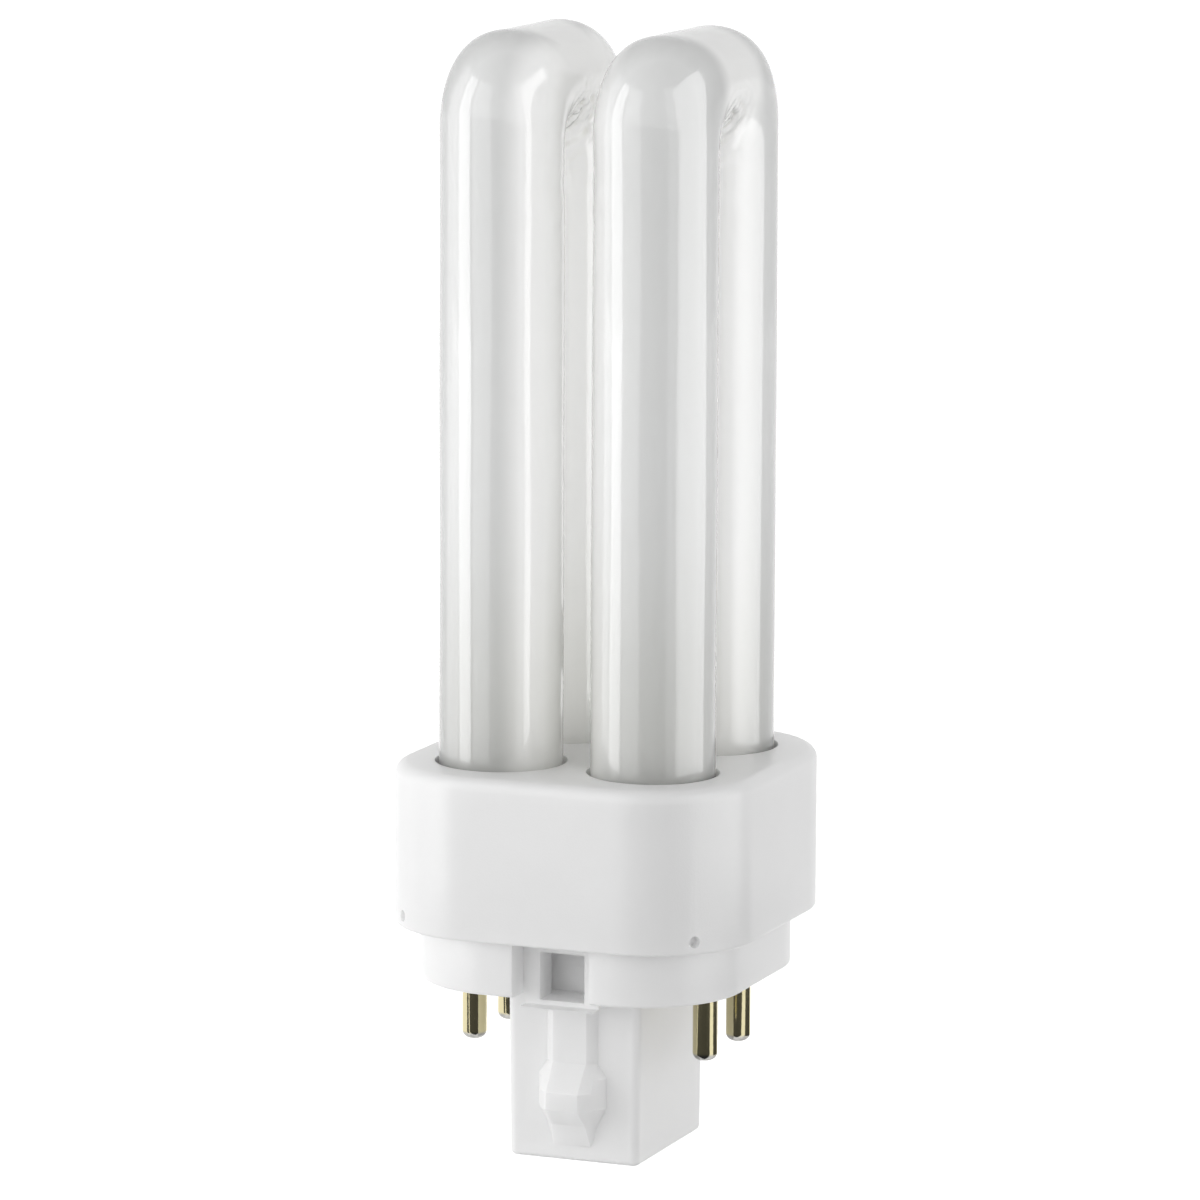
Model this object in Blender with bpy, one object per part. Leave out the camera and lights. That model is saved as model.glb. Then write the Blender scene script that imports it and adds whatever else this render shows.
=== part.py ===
"""Four pin compact fluorescent lamp: two glass U tubes in a plastic plug-in base.

The lamp stands on the flat end of its centre post. The origin is at the middle of that end, +Z points up
along the lamp, the ribs of the post face -Y and +Y, and each U tube bends from -Y to +Y.
"""

import bmesh
import bpy
from math import cos, pi, radians, sin
from mathutils import Vector

MM = 0.001

# Glass tube
tube_diameter = 11.5 * MM
leg_gap = 3.5 * MM
glass_height = 67.0 * MM
shoulder_radius = 7.5 * MM
crotch_depth = 10.0 * MM
crotch_pinch = 0.16
seal_room = 1.6 * MM
seal_width = 10.0 * MM
seal_thickness = 2.6 * MM
seal_height = 3.5 * MM
seal_taper = 2.5 * MM
seal_chamfer = 0.3 * MM
seal_squareness = 0.6
blind_end_height = 4.0 * MM
bridge_diameter = 5.6 * MM
bridge_flare = 0.8 * MM
bridge_flare_reach = 1.0 * MM
bridge_height = 9.0 * MM

# Housing, the upper shell of the base
leg_margin = 4.05 * MM
skirt_height = 15.1 * MM
skirt_corner = 10.0 * MM
skirt_wall = 1.6 * MM
skirt_corner_relief = 0.1 * MM
skirt_top = 1.6 * MM
skirt_edge_radius = 1.2 * MM
skirt_rim_radius = 0.3 * MM
leg_clearance = 0.35 * MM
stake_diameter = 1.1 * MM
stake_depth = 0.4 * MM
stake_height = 1.2 * MM
stake_narrowing = 0.45
stake_widening = 1.55

# Cement that holds the legs
cement_height = 4.5 * MM
cement_clearance = 0.3 * MM

# Cap, the lower shell of the base
neck_height = 5.3 * MM
shell_clearance = 0.3 * MM
spigot_height = 3.5 * MM
cap_wall = 1.6 * MM
cap_floor = 1.6 * MM
neck_edge_radius = 0.3 * MM

# Post in the middle of the cap
post_width = 13.1 * MM
post_depth = 16.6 * MM
post_height = 16.6 * MM
post_corner = 0.8 * MM
post_edge_radius = 0.5 * MM
post_draft = 0.12 * MM
post_wall = 1.5 * MM

# Keyway recess in the neck, above each rib, with a window through which the post's wall shows
keyway_width = 7.6 * MM
keyway_depth = 2.8 * MM
keyway_offset = 0.7 * MM
keyway_block = 2.9 * MM
keyway_drop = 1.1 * MM
window_width = 4.4 * MM
window_height = 4.45 * MM
window_sill = 0.55 * MM
chamber_wall = 0.5 * MM

# Rib with a snap bump on each broad side of the post; each flank has a bevelled shoulder
rib_width = 3.3 * MM
rib_shoulder_width = 4.1 * MM
rib_root_width = 5.0 * MM
rib_depth = 0.8 * MM
rib_shoulder_depth = 0.5 * MM
bump_width = 3.15 * MM
bump_shoulder_width = 5.1 * MM
bump_root_width = 6.7 * MM
bump_depth = 2.75 * MM
bump_shoulder_depth = 1.7 * MM
bump_start = 9.45 * MM
bump_full_width = 8.1 * MM
bump_top = 6.95 * MM
bump_bottom = 5.3 * MM
bump_knee = 3.6 * MM
bump_knee_depth = 1.0 * MM
bump_end = 1.5 * MM
bump_end_width = 3.7 * MM
bump_end_depth = 0.12 * MM

# Contact pins
pin_diameter = 2.3 * MM
pin_length = 6.8 * MM
pin_tip_radius = 0.75 * MM
pin_inset = 3.9 * MM
pin_pitch_y = 8.5 * MM
pin_clearance = 0.3 * MM
pin_collar_diameter = 3.6 * MM
pin_collar_height = 0.6 * MM
pin_tail_diameter = 2.0 * MM
pin_tail_height = 2.1 * MM
pin_bore_depth = 1.8 * MM
boss_diameter = 5.0 * MM
boss_height = 1.8 * MM

# Lead wires
wire_diameter = 0.5 * MM
wire_clearance = 0.3 * MM
wire_pitch = 5.0 * MM
wire_sag = 1.3 * MM
wire_rise = 1.2 * MM
wire_low_share = 0.35

# Fineness of the round forms
tube_segments = 36
bend_steps = 26
seal_steps = 4
dome_steps = 5
bridge_segments = 20
corner_steps = 10
post_corner_steps = 4
edge_steps = 4
stake_segments = 12
pin_segments = 18
hole_segments = 36
wire_steps = 22
sharp_angle = radians(30)

# How far a cutter runs past what it cuts, and how far joined solids run into each other
cutter_overrun = 1.0 * MM
weld = 0.4 * MM

# Places that follow from the sizes above
neck_bottom = post_height
skirt_bottom = neck_bottom + neck_height
skirt_top_level = skirt_bottom + skirt_height
glass_top = skirt_top_level + glass_height
spigot_top = skirt_bottom + spigot_height
floor_level = neck_bottom + cap_floor
window_bottom = neck_bottom - keyway_drop + window_sill
window_top = window_bottom + window_height
plate_underside = skirt_top_level - skirt_top
boss_top = floor_level + boss_height
collar_bottom = boss_top + pin_clearance
tail_top = collar_bottom + pin_collar_height + pin_tail_height
seal_bottom = tail_top + seal_room
seal_top = seal_bottom + seal_height
leg_end = seal_top + seal_taper

tube_radius = tube_diameter / 2
leg_pitch = tube_diameter + leg_gap
skirt_width = leg_pitch + tube_diameter + 2 * leg_margin
skirt_inner_width = skirt_width - 2 * skirt_wall
skirt_inner_corner = skirt_corner - skirt_corner_relief
neck_width = skirt_inner_width - 2 * shell_clearance
neck_corner = skirt_inner_corner - shell_clearance
pin_pitch_x = neck_width - 2 * pin_inset
pin_hole_diameter = pin_diameter + 2 * pin_clearance
pin_bore_diameter = wire_diameter + 2 * wire_clearance

leg_places = [(sx * leg_pitch / 2, sy * leg_pitch / 2) for sx in (-1, 1) for sy in (-1, 1)]
pin_places = [(sx * pin_pitch_x / 2, sy * pin_pitch_y / 2) for sx in (-1, 1) for sy in (-1, 1)]


def clear_scene():
    for obj in list(bpy.data.objects):
        bpy.data.objects.remove(obj, do_unlink=True)


def make_material(name, colour, roughness, metallic=0.0):
    material = bpy.data.materials.new(name)
    material.use_nodes = True
    shader = material.node_tree.nodes["Principled BSDF"]
    shader.inputs["Base Color"].default_value = (*colour, 1.0)
    shader.inputs["Roughness"].default_value = roughness
    shader.inputs["Metallic"].default_value = metallic
    material.diffuse_color = (*colour, 1.0)
    return material


def add_object(name, mesh, material=None):
    obj = bpy.data.objects.new(name, mesh)
    bpy.context.collection.objects.link(obj)
    if material:
        mesh.materials.append(material)
        mesh.shade_smooth()
        mesh.set_sharp_from_angle(angle=sharp_angle)
    return obj


def add_loft(bm, rings):
    """Skin a stack of rings with equal point counts, and close both ends."""
    rows = [[bm.verts.new(point) for point in ring] for ring in rings]
    count = len(rows[0])
    for lower, upper in zip(rows, rows[1:]):
        for i in range(count):
            j = (i + 1) % count
            bm.faces.new((lower[i], lower[j], upper[j], upper[i]))
    bm.faces.new(list(reversed(rows[0])))
    bm.faces.new(rows[-1])


def mesh_of_lofts(name, lofts):
    bm = bmesh.new()
    for rings in lofts:
        add_loft(bm, rings)
    bmesh.ops.recalc_face_normals(bm, faces=bm.faces)
    mesh = bpy.data.meshes.new(name)
    bm.to_mesh(mesh)
    bm.free()
    return mesh


def rounded_rectangle(width, depth, corner, steps):
    """Outline of a rectangle with round corners, counter-clockwise."""
    points = []
    for quarter in range(4):
        middle = quarter * pi / 2 + pi / 4
        cx = (width / 2 - corner) * (1 if cos(middle) > 0 else -1)
        cy = (depth / 2 - corner) * (1 if sin(middle) > 0 else -1)
        for i in range(steps + 1):
            angle = quarter * pi / 2 + i / steps * pi / 2
            points.append((cx + corner * cos(angle), cy + corner * sin(angle)))
    return points


def circle(radius, segments):
    return [
        (radius * cos(2 * pi * i / segments), radius * sin(2 * pi * i / segments))
        for i in range(segments)
    ]


def lift(outline, level, place=(0.0, 0.0)):
    return [(x + place[0], y + place[1], level) for x, y in outline]


def prism(outline, bottom, top, place=(0.0, 0.0)):
    return [lift(outline, bottom, place), lift(outline, top, place)]


def box(low, high):
    (x0, y0, z0), (x1, y1, z1) = low, high
    outline = [(x0, y0), (x1, y0), (x1, y1), (x0, y1)]
    return prism(outline, z0, z1)


def edge_profile(radius, steps):
    """Inset and height of each step round an edge, from the flat end to the wall."""
    angles = [i / steps * pi / 2 for i in range(steps + 1)]
    return [(radius * (1 - sin(a)), radius * (1 - cos(a))) for a in angles]


def rounded_block(width, depth, corner, steps, bottom, top, bottom_edge=0.0, top_edge=0.0, draft=0.0):
    """Block with round corners, round end edges and, with a draft, a narrower lower end."""

    def ring(inset, level):
        taper = draft * (top - level) / (top - bottom)
        cut = inset + taper
        radius = corner - min(inset, corner / 2)
        return lift(rounded_rectangle(width - 2 * cut, depth - 2 * cut, radius, steps), level)

    rings = []
    if bottom_edge:
        rings += [ring(inset, bottom + rise) for inset, rise in edge_profile(bottom_edge, edge_steps)]
    else:
        rings.append(ring(0.0, bottom))
    if top_edge:
        upper = [ring(inset, top - rise) for inset, rise in edge_profile(top_edge, edge_steps)]
        rings += list(reversed(upper))
    else:
        rings.append(ring(0.0, top))
    return rings


def make_tool(name, lofts):
    """Solid that only cuts or joins, and isn't part of the lamp."""
    tool = add_object(name, mesh_of_lofts(name, lofts))
    tool.hide_render = True
    tool.display_type = "WIRE"
    return tool


def apply_tool(obj, operation, tool):
    modifier = obj.modifiers.new(f"{operation.lower()} {tool.name}", "BOOLEAN")
    modifier.operation = operation
    modifier.solver = "EXACT"
    modifier.object = tool


def join(obj, name, lofts):
    apply_tool(obj, "UNION", make_tool(name, lofts))


def cut(obj, name, lofts):
    apply_tool(obj, "DIFFERENCE", make_tool(name, lofts))


def turned(profile, segments, place):
    """Rings of a turned piece from its (radius, level) profile."""
    return [lift(circle(radius, segments), level, place) for radius, level in profile]


def tube_section(side_x, inner, outer, half_width, pinch=0.0, squareness=0.0):
    """Ring from the inner to the outer point of a U tube's section, seen in the plane of the U."""
    middle = ((inner[0] + outer[0]) / 2, (inner[1] + outer[1]) / 2)
    reach = ((outer[0] - inner[0]) / 2, (outer[1] - inner[1]) / 2)
    ring = []
    for i in range(tube_segments):
        angle = 2 * pi * i / tube_segments
        across, along = sin(angle), cos(angle)
        if squareness:
            swell = 1 / max(abs(across), abs(along))
            across *= 1 + (swell - 1) * squareness
            along *= 1 + (swell - 1) * squareness
        inward = (1 - along) / 2
        width = half_width * (1 - pinch * inward * inward)
        ring.append(
            (side_x + across * width, middle[0] + along * reach[0], middle[1] + along * reach[1])
        )
    return ring


def bend_pair(share):
    """Crotch point and shoulder point, in (y, z), at a share of the way over the bend."""
    outer_y = leg_pitch / 2 + tube_radius
    flat_half = outer_y - shoulder_radius
    arc = pi / 2 * shoulder_radius
    distance = share * 2 * (arc + flat_half)
    if distance < arc:
        angle = pi - distance / shoulder_radius
        outer = (-flat_half + shoulder_radius * cos(angle), sin(angle))
    elif distance < arc + 2 * flat_half:
        outer = (-flat_half + distance - arc, 1.0)
    else:
        angle = pi / 2 - (distance - arc - 2 * flat_half) / shoulder_radius
        outer = (flat_half + shoulder_radius * cos(angle), sin(angle))
    outer = (outer[0], glass_top - shoulder_radius + shoulder_radius * outer[1])
    gap_half = leg_pitch / 2 - tube_radius
    turn = pi * (1 - share)
    inner = (gap_half * cos(turn), glass_top - crotch_depth - gap_half + gap_half * sin(turn))
    return inner, outer


def leg_section(side_x, leg_y, level, thickness=tube_diameter, width=tube_diameter, squareness=0.0):
    """Level section of a leg; its inner point faces the other leg of the U."""
    inward = 1 if leg_y < 0 else -1
    inner = (leg_y + inward * thickness / 2, level)
    outer = (leg_y - inward * thickness / 2, level)
    return tube_section(side_x, inner, outer, width / 2, squareness=squareness)


def sealed_end(side_x, leg_y):
    """Sections of a leg's flat press seal, from its lower end up to the round leg."""
    end_thickness = seal_thickness - 2 * seal_chamfer
    end_width = seal_width - 2 * seal_chamfer
    rings = [
        leg_section(side_x, leg_y, seal_bottom, end_thickness, end_width, seal_squareness),
        leg_section(side_x, leg_y, seal_bottom + seal_chamfer, seal_thickness, seal_width, seal_squareness),
        leg_section(side_x, leg_y, seal_top, seal_thickness, seal_width, seal_squareness),
    ]
    for i in range(1, seal_steps):
        share = sin(pi / 2 * i / seal_steps)
        thickness = seal_thickness + (tube_diameter - seal_thickness) * share
        width = seal_width + (tube_diameter - seal_width) * share
        level = seal_top + seal_taper * i / seal_steps
        rings.append(leg_section(side_x, leg_y, level, thickness, width, seal_squareness * (1 - share)))
    rings.append(leg_section(side_x, leg_y, leg_end))
    return rings


def blind_end(side_x, leg_y):
    """Sections of a leg's closed round end, from its lower pole up to the round leg."""
    rings = []
    for i in range(1, dome_steps + 1):
        angle = pi / 2 * i / dome_steps
        diameter = tube_diameter * sin(angle)
        level = leg_end - blind_end_height * cos(angle)
        rings.append(leg_section(side_x, leg_y, level, diameter, diameter))
    return rings


def u_tube(side_x):
    """Rings of one U tube, from the seal of its front leg over the bend to its closed back leg."""
    front, back = -leg_pitch / 2, leg_pitch / 2
    rings = sealed_end(side_x, front)
    for i in range(bend_steps + 1):
        share = i / bend_steps
        inner, outer = bend_pair(share)
        pinch = crotch_pinch * sin(pi * share) ** 2
        rings.append(tube_section(side_x, inner, outer, tube_radius, pinch))
    rings += list(reversed(blind_end(side_x, back)))
    return rings


def bridge():
    """Rings of the short tube between the two back legs, which flares where it meets each leg."""
    level = skirt_top_level + bridge_height
    leg_face = leg_pitch / 2 - tube_radius
    stations = [(leg_face + tube_radius / 2, 0.0)]
    for share in (1.0, 0.5, 0.0, -0.5, -1.0):
        flare = bridge_flare * cos(pi / 2 * share) ** 2
        stations.append((leg_face + share * bridge_flare_reach, flare))
    stations += [(-x, flare) for x, flare in reversed(stations)]
    rings = []
    for x, flare in stations:
        outline = circle(bridge_diameter / 2 + flare, bridge_segments)
        rings.append([(x, leg_pitch / 2 + y, level + z) for y, z in outline])
    return rings


def make_discharge_tube(material):
    u_tubes = [u_tube(-leg_pitch / 2), u_tube(leg_pitch / 2)]
    tube = add_object("discharge_tube", mesh_of_lofts("discharge_tube", u_tubes), material)
    join(tube, "bridge_between_back_legs", [bridge()])
    return tube


def make_base_housing(material):
    outer = rounded_block(
        skirt_width, skirt_width, skirt_corner, corner_steps, skirt_bottom, skirt_top_level,
        skirt_rim_radius, skirt_edge_radius,
    )
    housing = add_object("base_housing", mesh_of_lofts("base_housing", [outer]), material)
    hollow = rounded_block(
        skirt_inner_width, skirt_inner_width, skirt_inner_corner, corner_steps,
        skirt_bottom - cutter_overrun, plate_underside,
    )
    cut(housing, "housing_hollow", [hollow])
    hole = circle(tube_radius + leg_clearance, hole_segments)
    low, high = plate_underside - cutter_overrun, skirt_top_level + cutter_overrun
    cut(housing, "leg_holes", [prism(hole, low, high, place) for place in leg_places])
    cut(housing, "stake_marks", stake_cones())
    return housing


def stake_cones():
    """Cones that sink a stake mark into each corner of the skirt, near its rim."""
    corner_centre = skirt_width / 2 - skirt_corner
    level = skirt_bottom + stake_height
    cones = []
    for quarter in range(4):
        angle = pi / 4 + quarter * pi / 2
        outward = Vector((cos(angle), sin(angle), 0.0))
        sideways = Vector((-sin(angle), cos(angle), 0.0))
        centre = Vector((
            corner_centre * (1 if cos(angle) > 0 else -1),
            corner_centre * (1 if sin(angle) > 0 else -1),
            level,
        ))
        rings = []
        for depth, share in ((-stake_depth, stake_narrowing), (stake_depth, stake_widening)):
            middle = centre + outward * (skirt_corner + depth)
            outline = circle(share * stake_diameter / 2, stake_segments)
            rings.append([middle + sideways * x + Vector((0.0, 0.0, z)) for x, z in outline])
        cones.append(rings)
    return cones


def make_leg_cement(material):
    width = skirt_inner_width - 2 * cement_clearance
    corner = skirt_inner_corner - cement_clearance
    top = plate_underside - cement_clearance
    bottom = top - cement_height
    slab = prism(rounded_rectangle(width, width, corner, corner_steps), bottom, top)
    cement = add_object("leg_cement", mesh_of_lofts("leg_cement", [slab]), material)
    hole = circle(tube_radius + cement_clearance, hole_segments)
    low, high = bottom - cutter_overrun, top + cutter_overrun
    cut(cement, "cement_leg_holes", [prism(hole, low, high, place) for place in leg_places])
    return cement


def mirrored_pair(make_rings):
    """Rings for the front side, and the same turned half a turn round the lamp's axis."""
    front = make_rings()
    back = [[(-x, -y, z) for x, y, z in ring] for ring in front]
    return [front, back]


def rib():
    """Rings of the rib on the front of the post, from its top down to the end of its snap bump."""

    def section(level, widths, depth, shoulder_depth):
        face = post_depth / 2 - post_draft * (neck_bottom - level) / post_height
        front, shoulder, root = [width / 2 for width in widths]
        right = [
            (root, -face + weld),
            (root, -face),
            (shoulder, -face - shoulder_depth),
            (front, -face - depth),
        ]
        left = [(-x, y) for x, y in right]
        return [(x, y, level) for x, y in left + right[::-1]]

    top = neck_bottom - keyway_drop + weld / 2
    rib_widths = (rib_width, rib_shoulder_width, rib_root_width)
    bump_widths = (bump_width, bump_shoulder_width, bump_root_width)
    end_widths = (bump_end_width, bump_end_width, bump_end_width)
    slope_share = (bump_start - bump_full_width) / (bump_start - bump_top)
    slope_depth = rib_depth + (bump_depth - rib_depth) * slope_share
    slope_shoulder = rib_shoulder_depth + (bump_shoulder_depth - rib_shoulder_depth) * slope_share
    knee_shoulder = bump_knee_depth * rib_shoulder_depth / rib_depth
    return [
        section(top, rib_widths, rib_depth, rib_shoulder_depth),
        section(bump_start, rib_widths, rib_depth, rib_shoulder_depth),
        section(bump_full_width, bump_widths, slope_depth, slope_shoulder),
        section(bump_top, bump_widths, bump_depth, bump_shoulder_depth),
        section(bump_bottom, bump_widths, bump_depth, bump_shoulder_depth),
        section(bump_knee, rib_widths, bump_knee_depth, knee_shoulder),
        section(bump_end, end_widths, bump_end_depth, bump_end_depth / 2),
    ]


def keyway_backing():
    """Block inside the neck wall, behind the recess."""
    half = keyway_width / 2 + cap_wall
    face = neck_width / 2
    low = (keyway_offset - half, -face + cap_wall / 2, floor_level - cap_floor / 2)
    high = (keyway_offset + half, -face + keyway_depth + keyway_block, spigot_top - weld)
    return box(low, high)


def keyway_back():
    """Stretch of the post's wall that runs up behind the window and closes the space there."""
    half = keyway_width / 2 - weld / 2
    low = (keyway_offset - half, -neck_width / 2 + keyway_depth + keyway_block - weld, neck_bottom)
    high = (keyway_offset + half, -post_depth / 2 + post_wall, window_top + chamber_wall)
    return box(low, high)


def keyway_pad():
    """Lower end of the recess floor, which runs down past the neck to the top of the rib."""
    half = keyway_width / 2 - weld / 2
    face = neck_width / 2
    low = (keyway_offset - half, -face + keyway_depth / 2, neck_bottom - keyway_drop)
    high = (keyway_offset + half, -post_depth / 2 + post_wall / 2, neck_bottom + cap_floor / 2)
    return box(low, high)


def keyway_recess():
    face = neck_width / 2
    low = (keyway_offset - keyway_width / 2, -face - cutter_overrun, neck_bottom - cutter_overrun)
    high = (keyway_offset + keyway_width / 2, -face + keyway_depth, skirt_bottom + cutter_overrun)
    return box(low, high)


def keyway_window():
    low = (keyway_offset - window_width / 2, -neck_width / 2 - cutter_overrun, window_bottom)
    high = (keyway_offset + window_width / 2, -post_depth / 2, window_top)
    return box(low, high)


def keyway_chamber():
    """Wider space behind the window, between the wall of the neck and the wall of the post."""
    half = keyway_width / 2 - weld / 2 - chamber_wall
    low = (keyway_offset - half, -neck_width / 2 + keyway_depth + keyway_block, window_bottom)
    high = (keyway_offset + half, -post_depth / 2, window_top)
    return box(low, high)


def make_base_cap(material):
    neck = rounded_block(
        neck_width, neck_width, neck_corner, corner_steps, neck_bottom, spigot_top, neck_edge_radius,
    )
    cap = add_object("base_cap", mesh_of_lofts("base_cap", [neck]), material)
    hollow = rounded_block(
        neck_width - 2 * cap_wall, neck_width - 2 * cap_wall, neck_corner - cap_wall, corner_steps,
        floor_level, spigot_top + cutter_overrun,
    )
    cut(cap, "cap_hollow", [hollow])
    join(cap, "keyway_backings", mirrored_pair(keyway_backing))
    join(cap, "keyway_backs", mirrored_pair(keyway_back))
    post = rounded_block(
        post_width, post_depth, post_corner, post_corner_steps, 0.0, neck_bottom + cap_floor / 2,
        post_edge_radius, 0.0, post_draft,
    )
    join(cap, "centre_post", [post])
    join(cap, "ribs", mirrored_pair(rib))
    join(cap, "keyway_pads", mirrored_pair(keyway_pad))
    boss = circle(boss_diameter / 2, pin_segments)
    bosses = [prism(boss, floor_level - cap_floor / 2, boss_top, place) for place in pin_places]
    join(cap, "pin_bosses", bosses)
    cut(cap, "keyway_recesses", mirrored_pair(keyway_recess))
    post_hollow = rounded_block(
        post_width - 2 * post_wall, post_depth - 2 * post_wall, post_corner / 2, post_corner_steps,
        post_wall, floor_level + cutter_overrun,
    )
    cut(cap, "post_hollow", [post_hollow])
    cut(cap, "keyway_windows", mirrored_pair(keyway_window))
    cut(cap, "keyway_chambers", mirrored_pair(keyway_chamber))
    hole = circle(pin_hole_diameter / 2, pin_segments)
    low, high = neck_bottom - cutter_overrun, boss_top + cutter_overrun
    cut(cap, "pin_holes", [prism(hole, low, high, place) for place in pin_places])
    return cap


def make_contact_pins(material):
    """Hollow pins that drop through the bosses until their collars sit on them."""
    tip = neck_bottom - pin_length
    radius = pin_diameter / 2
    profile = []
    for i in range(edge_steps + 1):
        angle = pi / 2 * i / edge_steps
        across = radius - pin_tip_radius * (1 - sin(angle))
        profile.append((across, tip + pin_tip_radius * (1 - cos(angle))))
    profile += [
        (radius, collar_bottom),
        (pin_collar_diameter / 2, collar_bottom),
        (pin_collar_diameter / 2, collar_bottom + pin_collar_height),
        (pin_tail_diameter / 2, collar_bottom + pin_collar_height),
        (pin_tail_diameter / 2, tail_top),
        (pin_bore_diameter / 2, tail_top),
        (pin_bore_diameter / 2, tail_top - pin_bore_depth),
    ]
    pins = []
    for number, place in enumerate(pin_places, start=1):
        name = f"contact_pin_{number}"
        mesh = mesh_of_lofts(name, [turned(profile, pin_segments, (0.0, 0.0))])
        pin = add_object(name, mesh, material)
        pin.location = (*place, 0.0)
        pins.append(pin)
    return pins


def smooth_route(corners, steps):
    """Points of a smooth curve through the corners."""
    ends = [2 * corners[0] - corners[1], *corners, 2 * corners[-1] - corners[-2]]
    spans = len(corners) - 1
    points = []
    for i in range(steps + 1):
        span = min(int(i / steps * spans), spans - 1)
        t = i / steps * spans - span
        a, b, c, d = ends[span : span + 4]
        slope = (c - a) * t
        curve = (2 * a - 5 * b + 4 * c - d) * t * t
        twist = (3 * b - a - 3 * c + d) * t ** 3
        points.append((2 * b + slope + curve + twist) / 2)
    return points


def wire_route(seal_x, seal_y, lead_side, pin_x, pin_y):
    """Route from one lead of a seal, under the legs, and down into the bore of a pin."""
    start = Vector((seal_x + lead_side * wire_pitch / 2, seal_y, seal_bottom - wire_clearance))
    bore = Vector((pin_x, pin_y, tail_top - pin_bore_depth + wire_clearance))
    mouth = Vector((pin_x, pin_y, tail_top + wire_rise / 3))
    over = mouth + (start - mouth).normalized() * wire_rise
    over.z = (tail_top + seal_bottom) / 2
    low = start.lerp(over, wire_low_share)
    low.z = start.z - wire_sag
    return [start, low, over, mouth, bore]


def make_lead_wires(material):
    wires = []
    for number, (pin_x, pin_y) in enumerate(pin_places, start=1):
        side = 1 if pin_x > 0 else -1
        seal_x, seal_y = side * leg_pitch / 2, -leg_pitch / 2
        lead_side = side if pin_y < 0 else -side
        points = smooth_route(wire_route(seal_x, seal_y, lead_side, pin_x, pin_y), wire_steps)
        curve = bpy.data.curves.new(f"lead_wire_{number}", "CURVE")
        curve.dimensions = "3D"
        curve.bevel_depth = wire_diameter / 2
        curve.bevel_resolution = 1
        curve.use_fill_caps = True
        spline = curve.splines.new("POLY")
        spline.points.add(len(points) - 1)
        for slot, point in zip(spline.points, points):
            slot.co = (*point, 1.0)
        curve.materials.append(material)
        wire = bpy.data.objects.new(f"lead_wire_{number}", curve)
        bpy.context.collection.objects.link(wire)
        wires.append(wire)
    return wires


def main():
    clear_scene()
    opal_glass = make_material("opal_glass", (0.86, 0.86, 0.84), 0.08)
    housing_plastic = make_material("housing_plastic", (0.80, 0.80, 0.80), 0.32)
    cement = make_material("cement", (0.62, 0.60, 0.55), 0.9)
    brass = make_material("pin_brass", (0.78, 0.66, 0.32), 0.22, 1.0)
    nickel = make_material("lead_wire_nickel", (0.62, 0.61, 0.58), 0.3, 1.0)
    make_discharge_tube(opal_glass)
    make_base_housing(housing_plastic)
    make_leg_cement(cement)
    make_base_cap(housing_plastic)
    make_contact_pins(brass)
    make_lead_wires(nickel)


main()
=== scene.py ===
"""Looks of the four pin compact fluorescent lamp, laid out as a Blender add-on and run as a script.

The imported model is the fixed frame: every piece made here takes its size and place from it. The lamp stands
on the end of its centre post at the origin, +Z points up, and the ribs of the post face -Y and +Y.
"""

from functools import cache
from math import atan, cos, exp, pi, radians, sin, sqrt

import bmesh
import bpy
from bpy.props import FloatProperty, FloatVectorProperty, PointerProperty
from bpy.types import Operator, Panel, PropertyGroup
from mathutils import Matrix, Vector, noise


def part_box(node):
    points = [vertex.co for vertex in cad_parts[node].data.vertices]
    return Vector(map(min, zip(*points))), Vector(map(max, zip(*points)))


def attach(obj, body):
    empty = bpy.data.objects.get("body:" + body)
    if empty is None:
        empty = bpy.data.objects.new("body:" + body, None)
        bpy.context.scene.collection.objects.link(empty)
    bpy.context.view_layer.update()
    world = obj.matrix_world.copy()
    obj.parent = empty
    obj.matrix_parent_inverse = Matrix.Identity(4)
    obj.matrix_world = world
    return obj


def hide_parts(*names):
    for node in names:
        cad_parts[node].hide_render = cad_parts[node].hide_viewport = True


bl_info = {
    "name": "Compact fluorescent lamp looks",
    "version": (1, 0, 0),
    "blender": (4, 5, 0),
    "location": "View3D > Sidebar > Lamp",
    "description": "Dresses a four pin compact fluorescent lamp and its studio",
    "category": "Object",
}

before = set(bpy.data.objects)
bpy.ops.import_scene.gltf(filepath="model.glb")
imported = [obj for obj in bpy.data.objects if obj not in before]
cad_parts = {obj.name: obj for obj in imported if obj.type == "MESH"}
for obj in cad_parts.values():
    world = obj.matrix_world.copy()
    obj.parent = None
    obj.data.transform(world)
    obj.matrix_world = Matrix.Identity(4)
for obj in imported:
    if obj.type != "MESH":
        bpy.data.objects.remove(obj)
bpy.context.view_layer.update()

MM = 0.001
BODY = "root"

glass_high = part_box("discharge_tube")[1]
housing_low, housing_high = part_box("base_housing")
cap_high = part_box("base_cap")[1]
pin_low, pin_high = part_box("contact_pin_1")


def length(name, description, millimetres):
    default = millimetres * MM
    return FloatProperty(name=name, description=description, default=default, unit="LENGTH", precision=5)


def angle(name, description, degrees):
    return FloatProperty(name=name, description=description, default=radians(degrees), subtype="ANGLE")


def number(name, description, value):
    return FloatProperty(name=name, description=description, default=value)


def colour(name, description, rgb):
    return FloatVectorProperty(
        name=name, description=description, default=rgb, size=3, subtype="COLOR", min=0.0, max=1.0,
    )


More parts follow.
